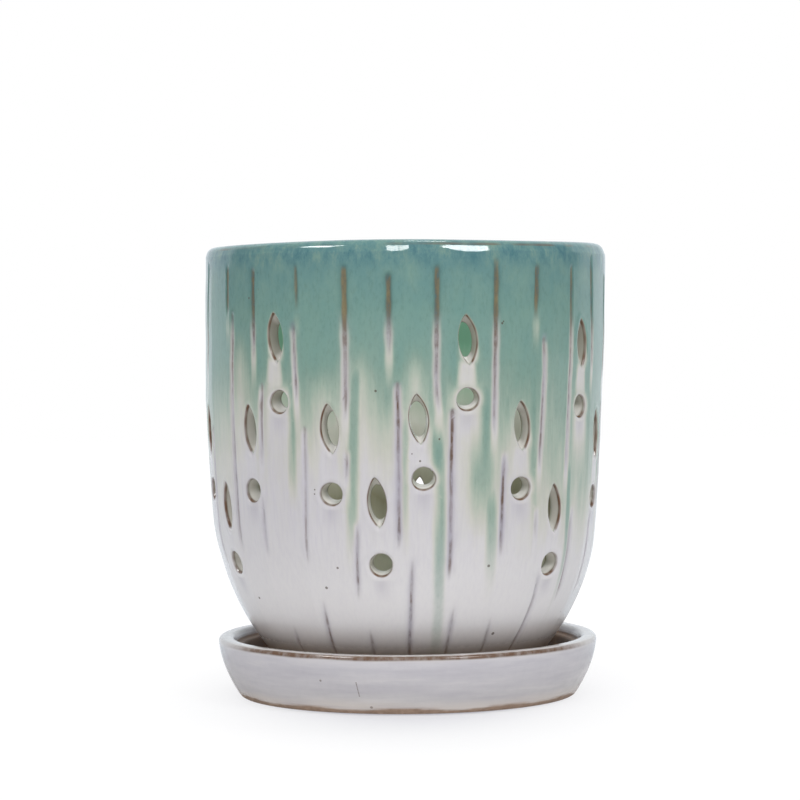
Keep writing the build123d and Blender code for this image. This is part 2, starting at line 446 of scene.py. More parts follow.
class Skin:
    """Collects points with masks, faces, and each face's place on the bake map."""

    def __init__(self):
        self.xyz, self.masks, self.maps, self.n = [], {k: [] for k in MASKS}, [], 0
        self.faces, self.kinds = [], []

    def add(self, xyz, st, **masks):
        """Adds points with their places on the bake map and their masks. Returns their numbers."""
        n = len(xyz)
        self.xyz.append(xyz)
        self.maps.append(np.asarray(st, float))
        for k in MASKS:
            self.masks[k].append(np.broadcast_to(np.asarray(masks.get(k, 0), float), (n,)))
        self.n += n
        return np.arange(self.n - n, self.n)

    def put(self, faces, kind=WRAPPED):
        self.faces += faces.tolist()
        self.kinds += [kind] * len(faces)

    def band(self, a, b, kind=WRAPPED):
        """Quads between two closed rings of equal count, a below b as seen from outside. Returns b."""
        self.put(np.stack([a, np.roll(a, -1), np.roll(b, -1), b], -1), kind)
        return b

    def fan(self, ring, hub, kind, flip=False):
        """Triangles from a closed ring to one point."""
        a, b = (np.roll(ring, -1), ring) if flip else (ring, np.roll(ring, -1))
        self.put(np.stack([a, b, np.full_like(ring, hub)], -1), kind)

    def stitch(self, a, ta, b, tb, flip=False):
        """Triangles between an outer ring a and an inner ring b, each with its angles."""
        oa, ob = np.argsort(ta), np.argsort(tb)
        a, ta, b, tb = a[oa], ta[oa], b[ob], tb[ob]
        ta, tb = np.append(ta, ta[0] + 2 * np.pi), np.append(tb, tb[0] + 2 * np.pi)
        n, m, i, j, faces = len(a), len(b), 0, 0, []
        while i < n or j < m:
            if j >= m or (i < n and ta[i + 1] <= tb[j + 1]):
                face = [a[i], a[(i + 1) % n], b[j % m]]
                i += 1
            else:
                face = [a[i % n], b[(j + 1) % m], b[j]]
                j += 1
            faces.append(face[::-1] if flip else face)
        self.put(np.array(faces))

    def bake_map(self, xyz, corner):
        """Map places of all face corners. Faces across the seam of the wrap are kept whole."""
        sides = np.array([len(f) for f in self.faces])
        start = np.repeat(np.cumsum(sides) - sides, sides)
        kinds = np.repeat(np.array(self.kinds), sides)
        uv = np.concatenate(self.maps)[corner]
        first = uv[start, 0]
        uv[:, 0] = first + (uv[:, 0] - first + 0.5) % 1 - 0.5
        flat = xyz[corner, :2] / DISC_SPAN
        for kind, place in DISC_PLACES.items():
            uv = np.where((kinds == kind)[:, None], flat + place, uv)
        lowest = np.minimum.reduceat(uv[:, 0], np.unique(start))
        wrap = np.repeat(np.floor(lowest + 1e-6), sides)
        uv[:, 0] = np.where(kinds == WRAPPED, WRAP_EDGE + WRAP_WIDTH * (uv[:, 0] - wrap), uv[:, 0])
        return uv

    def build(self, name):
        xyz = np.concatenate(self.xyz) / 1000
        mesh = bpy.data.meshes.new(name)
        mesh.from_pydata(xyz.tolist(), [], self.faces)
        for mask in MASKS:
            values = np.concatenate(self.masks[mask]).astype(np.float32)
            mesh.attributes.new(mask, "FLOAT", "POINT").data.foreach_set("value", values)
        mesh.polygons.foreach_set("use_smooth", np.ones(len(mesh.polygons), bool))
        corner = np.empty(len(mesh.loops), np.int64)
        mesh.loops.foreach_get("vertex_index", corner)
        layer = mesh.uv_layers.new(name="OFBake")
        layer.data.foreach_set("uv", self.bake_map(xyz, corner).astype(np.float32).ravel())
        mesh.update()
        return added(name, mesh)


def on_map(b, s):
    """Places on the bake map at bearings b, in the row s."""
    return np.stack([b / 360 + 0.5, s + 0 * b], -1)


def ring(skin, b, r, z, s, **masks):
    """A closed ring of points at bearings b, with its row s on the bake map."""
    t = np.radians(b)
    r, z = r + 0 * t, z + 0 * t
    return skin.add(np.stack([r * np.sin(t), -r * np.cos(t), z], -1), on_map(b, s), **masks)


# The pot: outer and inner wall on fine grids, with a window left open round each cut
COLS, ROWS, IN_COLS, IN_ROWS = 1440, 180, 480, 84
Z_LOW, Z_HIGH = 12.6, 179.2
IN_LOW, IN_HIGH = 22, 181.6
LIP, INNER_LIP, LIP_REACH = 0.75, 0.8, 1.6
MAP_SPAN, RIM_SPAN = 525, 14
pot = Skin()
col_b = np.arange(COLS) * 360 / COLS - 180
row_z = np.linspace(Z_LOW, Z_HIGH, ROWS)
row_s = running_length(radius(row_z), row_z) / MAP_SPAN
in_b = np.arange(IN_COLS) * 360 / IN_COLS - 180
in_z = np.linspace(IN_HIGH, IN_LOW, IN_ROWS)
in_s = row_s[-1] + RIM_SPAN / MAP_SPAN + running_length(radius(in_z, CLAY), in_z) / MAP_SPAN


def windows(cols, rows, inset, shrink):
    """For each cut, the block of the grid that is left open: columns i0..i1 and rows j0..j1."""
    out = []
    width = 360 / cols
    for p in PIERCINGS:
        half_u, half_v = p.half[0] * shrink, p.half[1] * shrink
        reach = math.degrees(half_u / float(radius(p.z, inset)))
        i0 = math.floor((p.b - reach + 180) / width)
        i1 = math.ceil((p.b + reach + 180) / width)
        hits = np.where((rows > p.z - half_v) & (rows < p.z + half_v))[0]
        out.append((i0, i1, hits[0] - 1, hits[-1] + 1))
    return out


def window_ring(p, ids, rows, window, inset):
    """The grid's points round a window, and the direction of each from the middle of its cut."""
    i0, i1, j0, j1 = window
    i, j = np.mgrid[i0:i1 + 1, j0:j1 + 1].reshape(2, -1)
    border = (i == i0) | (i == i1) | (j == j0) | (j == j1)
    i, j = i[border], j[border]
    cols = ids.shape[1]
    u, v = p.local(i * 360 / cols - 180, rows[j], inset)
    return ids[j, i % cols], np.arctan2(v, u)


def grid(skin, cols, rows, maps, holes, surface):
    """The grid's points and faces outside its windows. Returns the table of its points' numbers."""
    open_q = np.zeros((len(rows) - 1, cols), bool)
    open_v = np.zeros((len(rows), cols), bool)
    for i0, i1, j0, j1 in holes:
        open_q[np.ix_(range(j0, j1), np.arange(i0, i1) % cols)] = True
        open_v[np.ix_(range(j0 + 1, j1), np.arange(i0 + 1, i1) % cols)] = True
    jj, ii = np.where(~open_v)
    xyz, masks = surface(ii * 360 / cols - 180, rows[jj])
    ids = np.full((len(rows), cols), -1)
    ids[jj, ii] = skin.add(xyz, np.stack([ii / cols, maps[jj]], -1), **masks)
    qj, qi = np.where(~open_q)
    qi2 = (qi + 1) % cols
    skin.put(np.stack([ids[qj, qi], ids[qj, qi2], ids[qj + 1, qi2], ids[qj + 1, qi]], -1))
    return ids


def rounding(d, size):
    """How far a rounded edge has fallen back at distance d from its end."""
    return size - np.sqrt(size**2 - (size - np.minimum(d, size)) ** 2)


def bead(d):
    """Lip of a cut at distance d from it: a slight bead, then the rounded edge."""
    return 0.16 * hump(d - 1.7, 0.85) - rounding(d, LIP)


def top_masks(z):
    return {"band": step(171, 179, z), "high": step(181.5, 184.2, z)}


def inner_masks(b, z):
    amount = np.interp(z + 3 * waves(b, 6, 5, 40, 31), INNER_Z, INNER_AMOUNT)
    return {"inner": 1, "glaze": amount, **top_masks(z)}


def outer_surface(b, z):
    """Points and masks of the outer wall."""
    rise, masks, lip = paint(b, z)
    return wall_point(b, z, rise + bead(lip)), {**masks, **top_masks(z)}


def inner_surface(b, z):
    """Points and masks of the inner wall, with the ridges that throwing leaves."""
    ridges = 0.16 * np.sin(z * 0.62 + np.radians(b)) + 0.1 * np.sin(z * 0.23 + 2)
    return wall_point(b, z, -ridges * step(22, 34, z), CLAY), inner_masks(b, z)


out_holes = windows(COLS, row_z, 0, 1)
out_ids = grid(pot, COLS, row_z, row_s, out_holes, outer_surface)
in_holes = windows(IN_COLS, in_z, CLAY, 0.95)
in_ids = grid(pot, IN_COLS, in_z, in_s, in_holes, inner_surface)


def lip_masks(p, depth):
    """Masks round the edge of a cut, for points that lie depth inside it."""
    if p.slot:
        a = math.radians(TILT)
        v = (p.out[:, 1] * math.cos(a) - p.out[:, 0] * math.sin(a)) / (SLOT_L / 2)
        line = (1 - step(0.94, 1, v)) * (1 - step(0.82, 0.93, -v))
        # pooled white glaze at the foot of the slot; at its top tip the same pale colour is painted light on
        # the cut's shadowed wall
        pool_and_painted_light = np.maximum(1 - step(-0.92, -0.66, v), 0.8 * step(0.62, 0.86, v))
    else:
        v = np.sin(p.t)
        line = 0.6 + 0.4 * (1 - step(-0.9, -0.1, v))
        pool_and_painted_light = 1 - step(-0.6, 0.2, v)
    wear = 0.85 + 0.25 * np.sin(3 * p.t + p.b) * np.sin(5 * p.t + p.z)
    return {
        "brk": np.clip(line * wear, 0, 1) * (1 - step(0.3, 0.9, depth)),
        "pool_and_painted_light": pool_and_painted_light * step(0.3, 1.1, depth),
        "cut": min(1, depth / 0.7),
    }


def lip_loops(p):
    """Loops from the window's edge in to a cut, each with its distance from the cut."""
    base = grown(p.out, LIP_REACH)
    wide = (p.half[0] - 0.5) / np.maximum(np.abs(base[:, 0]), 1e-6)
    tall = (p.half[1] - 0.6) / np.maximum(np.abs(base[:, 1]), 1e-6)
    edge = base * np.minimum(wide, tall)[:, None]
    loops = [(base + t * (edge - base), LIP_REACH + 2 * t) for t in (0.9, 0.6, 0.3, 0)]
    return loops + [(grown(p.out, d), d) for d in (1.2, 0.8, 0.55, 0.35, 0.15, 0)]


def direction(uv):
    return np.arctan2(uv[:, 1], uv[:, 0])


def pierce(p, window, back_window):
    """Skin of one cut, from the window in the outer wall to the one in the inner wall."""
    # lip outside
    ids = []
    loops = lip_loops(p)
    worn = lip_masks(p, 0)["brk"]
    for uv, d in loops:
        b, z = p.place(uv)
        rise, masks, lip = paint(b, z)
        edge = wall_point(b, z, rise + bead(d if d < LIP_REACH else lip))
        edge_st = on_map(b, np.interp(z, row_z, row_s))
        ids.append(pot.add(edge, edge_st, **masks, brk=worn * (1 - step(0.1, 0.45, d)), **top_masks(z)))
    pot.stitch(*window_ring(p, out_ids, row_z, window, 0), ids[0], direction(loops[0][0]))
    # through the wall
    way = wall_point(*p.place(p.inn, CLAY), INNER_LIP, CLAY) - edge
    deep = np.linalg.norm(way, axis=1).mean()
    centre_st = on_map(p.b, np.interp(p.z, row_z, row_s))
    for t in (0.04, 0.09, 0.16, 0.3, 0.5, 0.7, 0.88, 1):
        xyz = edge + t * way
        xyz[:, 2] += 0.35 * math.sin(math.pi * min(t * 1.6, 1)) * step(-0.2, 1, -np.sin(p.t))
        st = centre_st + (edge_st - centre_st) * (1 - 0.8 * t)
        masks = {**lip_masks(p, t * deep), **top_masks(xyz[:, 2])}
        masks["brk"] = np.maximum(masks["brk"], 0.4 * step(0.86, 1, t))
        tint = step(112, 128, p.z)
        ids.append(pot.add(xyz, st, glaze=0.35, ochre=tint, inner=step(0.75, 1, t), **masks))
    # lip inside
    for d in (0.25, 0.6, 1, 1.5):
        uv = grown(p.inn, d)
        b, z = p.place(uv, CLAY)
        xyz = wall_point(b, z, rounding(d, INNER_LIP), CLAY)
        st = on_map(b, np.interp(-z, -in_z, in_s))
        ids.append(pot.add(xyz, st, cut=hump(d, 0.5), brk=0.55 * hump(d, 0.4), **inner_masks(b, z)))
    for outer, inner in zip(ids[:-1], ids[1:]):
        pot.band(outer, inner)
    pot.stitch(*window_ring(p, in_ids, in_z, back_window, CLAY), ids[-1], direction(uv), flip=True)


for p, window, back_window in zip(PIERCINGS, out_holes, in_holes):
    pierce(p, window, back_window)


# Rolled rim: a narrow bevel with an uneven lower edge, then a tight roll
def bump(at, width):
    """A soft bump of height 1 round the bearing at, for the rim's points."""
    return hump(col_b - at, width)


BEVEL = math.radians(19)
r_wall, r_in = float(radius(Z_HIGH)), float(radius(IN_HIGH, CLAY))
rim_rise = paint(col_b, np.full(COLS, Z_HIGH))[0]
rim_sway = 0.2 * waves(col_b, 4, 1, 5, 5) - 0.25
edge_z = 182.1 - 0.8 * bump(-25, 13)
bevel_z = 179.8 + 0.25 * waves(col_b, 5, 4, 22, 71) - 0.35 * bump(-3, 7)
bevel_z = np.maximum(bevel_z - 0.55 * bump(19, 3.5), 179.25)
calm = 1 - 0.85 * bump(-25, 14)
bend = 0.3 * calm + 0.2 * calm * waves(col_b, 6, 10, 60, 73) + 0.55 * bump(0.4, 1.8)
bend = np.clip(bend + 1.1 * bump(10.5, 3.2), 0.1, 1.4)
edge_r = r_wall - math.tan(BEVEL) * (edge_z - bevel_z - bend / 2)
outer_roll = (RIM_Z - edge_z) / (1 - math.sin(BEVEL))
inner_roll = edge_r - outer_roll * math.cos(BEVEL) - r_in
rim_worn = np.clip(0.3 + 0.45 * waves(col_b, 7, 3, 40, 72), 0, 0.7) * (1 - 0.85 * bump(-34, 26))

# Rows of the rim: radius, height, how much brown shows, and how far over the rim, from outside to inside
OVER_STEP = 0.0435
rim_rows = []
for t in (0, 0.1, 0.2, 0.3, 0.4, 0.5, 0.65, 0.8, 1):
    up = t * (edge_z - bevel_z)
    back = np.where(up < bend, up**2 / (2 * bend), up - bend / 2)
    rim_rows.append((r_wall - math.tan(BEVEL) * back, bevel_z + up, 0, 0.22 * t))
for k, a in enumerate(np.radians(np.linspace(26, 90, 8))):
    r = edge_r + outer_roll * (math.cos(a) - math.cos(BEVEL))
    z = edge_z + outer_roll * (math.sin(a) - math.sin(BEVEL))
    rim_rows.append((r, z, hump(a - 0.5, 0.2), 0.26 + OVER_STEP * k))
outer_rows = len(rim_rows)
for k, a in enumerate(np.radians(np.linspace(90, 175, 9))):
    r, z = r_in + inner_roll * (1 + math.cos(a)), RIM_Z - inner_roll * (1 - math.sin(a))
    rim_rows.append((r, z, 0, 0.61 + OVER_STEP * k))

prev = out_ids[-1]
for k, (r, z, brown, over) in enumerate(rim_rows):
    share = (z - Z_HIGH) / (RIM_Z - Z_HIGH)
    s = row_s[-1] + (k + 1) / (len(rim_rows) + 1) * 13 / MAP_SPAN
    r = r + rim_rise * (1 - share) * (k < outer_rows)
    masks = {"glaze": 1, "inner": 1 - step(0.7, 0, over), "brk": rim_worn * brown, **top_masks(z)}
    prev = pot.band(prev, ring(pot, col_b, r, z + rim_sway * share, s, **masks))
pot.stitch(prev, even_angles(COLS), in_ids[0], even_angles(IN_COLS))

# Rounded corner inside, and the floor in to the drain
FLAT_R = 40.5
start, corner = float(radius(IN_LOW, CLAY)), float(radius(FLOOR_Z, CLAY))
prev = in_ids[-1]
for k, t in enumerate((0.2, 0.4, 0.6, 0.8, 1)):
    r = (1 - t) ** 2 * start + 2 * t * (1 - t) * corner + t * t * FLAT_R
    z = (1 - t) ** 2 * IN_LOW + 2 * t * (1 - t) * FLOOR_Z + t * t * FLOOR_Z
    prev = pot.band(prev, ring(pot, in_b, r, z, in_s[-1] + 0.006 * (k + 1), inner=1, glaze=0.1))
for r in (36, 30, 23, 17, 13.2, 12, 11.25):
    ripple = 0.12 * math.sin(r * 0.9) if r > 13 else 0
    fall = 0.25 if r < 11.5 else 0
    here = ring(pot, in_b, r, FLOOR_Z + ripple - fall, 0, inner=1, glaze=0.1, clay=step(14, 11, r))
    prev = pot.band(prev, here, INSIDE)

# Drain, underside and foot ring: radius and height of each row
DRAIN = [(11, 16.2), (11, 13.5), (11, 11.1), (11.3, 10.6)]
UNDER = [(12.2, 10.5), (20, 10.5), (30, 10.5), (FOOT_IN - 1.5, 10.5), (FOOT_IN - 0.3, 10.2),
         (FOOT_IN, 9.4), (FOOT_IN + 0.1, 8.5), (FOOT_IN + 0.6, 8.06), (FOOT_IN + 1.9, 8),
         (FOOT_R - 1.9, 8), (FOOT_R - 0.7, 8.08), (FOOT_R - 0.15, 8.5), (FOOT_R + 0.1, 9.4)]
for k, (r, z) in enumerate(DRAIN + UNDER):
    wob = 0.12 * waves(in_b, 4, 2, 9, 40 + k) if FOOT_IN - 0.4 < r and z > 8.2 else 0
    here = ring(pot, in_b, r + wob, z, 0.84 + 0.004 * k, clay=1, inner=0.3)
    prev = pot.band(prev, here, WRAPPED if k < len(DRAIN) else UNDERSIDE)
heel = ring(pot, in_b, FOOT_R + 0.4, 10.3, 0, clay=0.9)
pot.band(prev, heel, UNDERSIDE)
pot.stitch(out_ids[0], np.radians(col_b), heel, np.radians(in_b))
pot_piece = pot.build("pot_glazed")

# The saucer, turned from its section
S_BASE, S_HIGH, S_FLARE, S_BULGE = 68.96, 24.5, math.radians(20.6), 1.8
S_COLS, S_MAP_SPAN = 720, 560


def saucer_side(z):
    """Radius of the saucer's rounded side at a height."""
    f = z / S_HIGH
    return S_BASE + z * math.tan(S_FLARE) + 4 * S_BULGE * f * (1 - f) / math.cos(S_FLARE)


# Radius and height along the section: underside and foot, side, rim, step, well and floor
SIDE_Z = (1.6, 2.1, 3, 4, 6, 8, 10, 12, 14, 16, 18, 20, 21.4, 22.2)
SECTION = [(0, 1.5), (30, 1.5), (60.4, 1.5), (60.8, 1.3), (61.05, 0.5), (61.6, 0.05), (62.8, 0),
           (67.4, 0), (68.5, 0.1), (69.15, 0.5), (69.55, 1.1)]
SECTION += [(saucer_side(z), z) for z in SIDE_Z]
SECTION += [(77.95, 22.8), (77.85, 23.4), (77.5, 23.95), (76.9, 24.35), (76.1, 24.55), (74.6, 24.55),
            (73.3, 24.5), (72.4, 24.3), (71.75, 23.7), (71.3, 22.7), (70.75, 21.35), (70.35, 20.9),
            (69.8, 20.7), (69, 20.68), (68.4, 20.45), (68, 19.7), (67.3, 17.9), (66.2, 14.9),
            (65.1, 12), (63.7, 9.7), (62, 8.4), (60, 8), (54, 8), (49.5, 8), (41, 8),
            (20, 8), (0, 8)]
section = np.array(SECTION, float)
fine = [section[0]]
for a, b in zip(section[:-1], section[1:]):
    gap = 0.3 if a[1] > 21.3 and a[0] > 74 else 0.8
    rows = max(1, int(np.hypot(*(b - a)) / gap)) if a[0] > 5 and b[0] > 45 else 1
    fine += [a + (b - a) * (i + 1) / rows for i in range(rows)]
fine = np.array(fine)
fine_s = running_length(*fine.T) / S_MAP_SPAN
rim_row = int(np.argmax(fine[:, 1]))

saucer = Skin()
sb = np.arange(S_COLS) * 360 / S_COLS - 180
s_wob = 0.10 * waves(sb, 4, 2, 7, 60) + 0.05 * waves(sb, 3, 8, 20, 61)
s_sway = 0.08 * waves(sb, 4, 2, 8, 62) - 0.7 * np.cos(np.radians(sb))
clay_edge = 2 + 0.32 * waves(sb, 5, 2, 12, 63) + 0.1 * waves(sb, 5, 15, 60, 64)
# The brown line along the rim lies between two uneven edges and is weaker at both sides
line_low = 22.75 + 0.09 * waves(sb, 6, 3, 30, 65)
line_high = 24.3 + 0.05 * waves(sb, 4, 5, 30, 66)
line_weak = 0.75 * step(48, 72, np.abs(sb)) * (1 - step(100, 130, np.abs(sb)))
LINE_INSIDE = 76.2


def saucer_hub(z, **masks):
    """The middle point of the saucer's underside or floor."""
    return saucer.add(np.array([[0, 0, z]]), [[0, 0]], high=z / S_HIGH, **masks)[0]


hub, prev = saucer_hub(fine[0, 1], clay=1), None
for k, (r, z) in enumerate(fine[1:-1], 1):
    outside = k <= rim_row
    masks = {"high": z / S_HIGH, "inner": 0 if outside else 1}
    if outside:
        masks["clay"] = 1 - step(-0.35, 0.35, z - clay_edge)
    else:
        masks["cut"] = 1 - step(21.4, 22.6, z)
    if outside and z > 20 and r > LINE_INSIDE:
        masks["brk"] = (1 - line_weak) * step(-0.55, 0.25, z - line_low) * step(0.2, -0.2, z - line_high)
    lift = s_sway * step(9, 24, z) if r > 64 else 0
    here = ring(saucer, sb, r + s_wob * (r > 20) * (z > 0.4), z + lift, fine_s[k], **masks)
    if prev is None:
        saucer.fan(here, hub, UNDERSIDE, flip=True)
    elif outside and z < 1.6 and r < 61:
        saucer.band(prev, here, UNDERSIDE)
    elif not outside and z < 8.1 and r < 60:
        saucer.band(prev, here, INSIDE)
    else:
        saucer.band(prev, here)
    prev = here
saucer.fan(prev, saucer_hub(fine[-1, 1], inner=1, cut=1), INSIDE)
saucer_piece = saucer.build("saucer_glazed")


# Materials
def rgba(colour):
    """Linear colour of a hex code, or of a grey level that is linear already."""
    if not isinstance(colour, str):
        return (colour, colour, colour, 1)
    levels = [int(colour[i:i + 2], 16) / 255 for i in (0, 2, 4)]
    return [x / 12.92 if x <= 0.04045 else ((x + 0.055) / 1.055) ** 2.4 for x in levels] + [1]


class Nodes:
    """A node tree with short ways to add nodes."""

    def __init__(self, tree):
        self.tree = tree
        tree.nodes.clear()

    def new(self, kind, **settings):
        """A new node. Small letters name its own settings. Inputs are named, or numbered as in _0."""
        node = self.tree.nodes.new("ShaderNode" + kind)
        for name, value in settings.items():
            if name[0].islower():
                setattr(node, name, value)
                continue
            socket = node.inputs[int(name[1:]) if name[0] == "_" else name.replace("_", " ")]
            if isinstance(value, bpy.types.NodeSocket):
                self.tree.links.new(value, socket)
            else:
                socket.default_value = value
        return node

    def out(self, kind, **settings):
        return self.new(kind, **settings).outputs[0]

    def math(self, operation, a, b=0, clamp=False):
        return self.out("Math", operation=operation, use_clamp=clamp, _0=a, _1=b)

    def add(self, a, b, clamp=False):
        return self.math("ADD", a, b, clamp)

    def sub(self, a, b, clamp=False):
        return self.math("SUBTRACT", a, b, clamp)

    def mul(self, a, b):
        return self.math("MULTIPLY", a, b)

    def most(self, a, b):
        return self.math("MAXIMUM", a, b)

    def length(self, place):
        return self.new("VectorMath", operation="LENGTH", _0=place).outputs["Value"]

    def depth(self, place):
        return self.new("SeparateXYZ", _0=place).outputs["Y"]

    def blend(self, share, a, b):
        return self.out("MixShader", _0=share, _1=a, _2=b)

    def fade(self, value, low, high, start=0, end=1):
        """A smooth step from start to end while value goes from low to high."""
        return self.out("MapRange", interpolation_type="SMOOTHSTEP", Value=value, From_Min=low, From_Max=high,
                        To_Min=start, To_Max=end)


class Glaze(Nodes):
    """The node material of a glaze."""

    BUMP_DISTANCE, IOR = 0.0006, 1.5

    def __init__(self, name):
        self.mat = bpy.data.materials.new(name)
        self.mat.use_nodes = True
        super().__init__(self.mat.node_tree)
        self.place = self.new("TexCoord").outputs["Object"]

    def mask(self, name):
        return self.new("Attribute", attribute_name=name).outputs["Fac"]

    def mix(self, fac, a, b, blend="MIX"):
        a, b = [rgba(x) if isinstance(x, str) else x for x in (a, b)]
        return self.new("Mix", data_type="RGBA", blend_type=blend, _0=fac, _6=a, _7=b).outputs[2]

    def noise(self, scale, stretch, detail, rough, shift=0):
        at = self.out("Mapping", Vector=self.place, Scale=stretch, Location=(shift, shift, shift))
        return self.out("TexNoise", Vector=at, Scale=scale, Detail=detail, Roughness=rough)

    def ramp(self, fac, stops):
        node = self.new("ValToRGB", Fac=fac)
        elements = node.color_ramp.elements
        while len(elements) < len(stops):
            elements.new(0.5)
        for element, (at, colour) in zip(elements, stops):
            element.position, element.color = at, rgba(colour)
        return node.outputs[0]

    def specks(self, scale, size, share, shift=0):
        """Scattered round specks, in a share of the cells of a Voronoi pattern."""
        at = self.out("Mapping", Vector=self.place, Location=(shift, 2 * shift, shift))
        cells = self.new("TexVoronoi", Vector=at, Scale=scale).outputs
        near = self.math("LESS_THAN", cells["Distance"], size)
        pick = self.out("SeparateColor", Color=cells["Color"])
        return self.mul(near, self.math("LESS_THAN", pick, share))

    def spots(self, places):
        """Small marks at fixed points, each a place and a size in metres."""
        out = 0
        for at, size in places:
            far = self.new("VectorMath", operation="DISTANCE", _0=self.place, _1=at).outputs["Value"]
            out = self.most(out, self.math("LESS_THAN", far, size))
        return out

    def done(self, colour, rough, height, strength):
        bump = self.out("Bump", Height=height, Strength=strength, Distance=self.BUMP_DISTANCE)
        surface = self.out("BsdfPrincipled", Base_Color=colour, Roughness=rough, Normal=bump, IOR=self.IOR)
        self.new("OutputMaterial", Surface=surface)
        return self.mat


# Pinholes and iron specks on the side in view: bearing, height and size
PINS = [(-48.4, 162.7, 0.5), (26.9, 151.9, 0.5), (27.3, 152.6, 0.35), (-8.3, 126.2, 0.5), (8.9, 107.5, 0.4),
        (36.8, 74.3, 0.6), (24.3, 57.7, 0.6), (31, 29.9, 0.7), (-55.8, 43.2, 0.6), (-20.8, 57.5, 0.5),
        (-25.3, 49.4, 0.6), (3.6, 99.1, 0.45), (-26.5, 86.3, 0.4), (-26.4, 88, 0.4), (14.7, 164.3, 0.35),
        (1.4, 101.9, 0.35), (-88.6, 138, 0.6)]


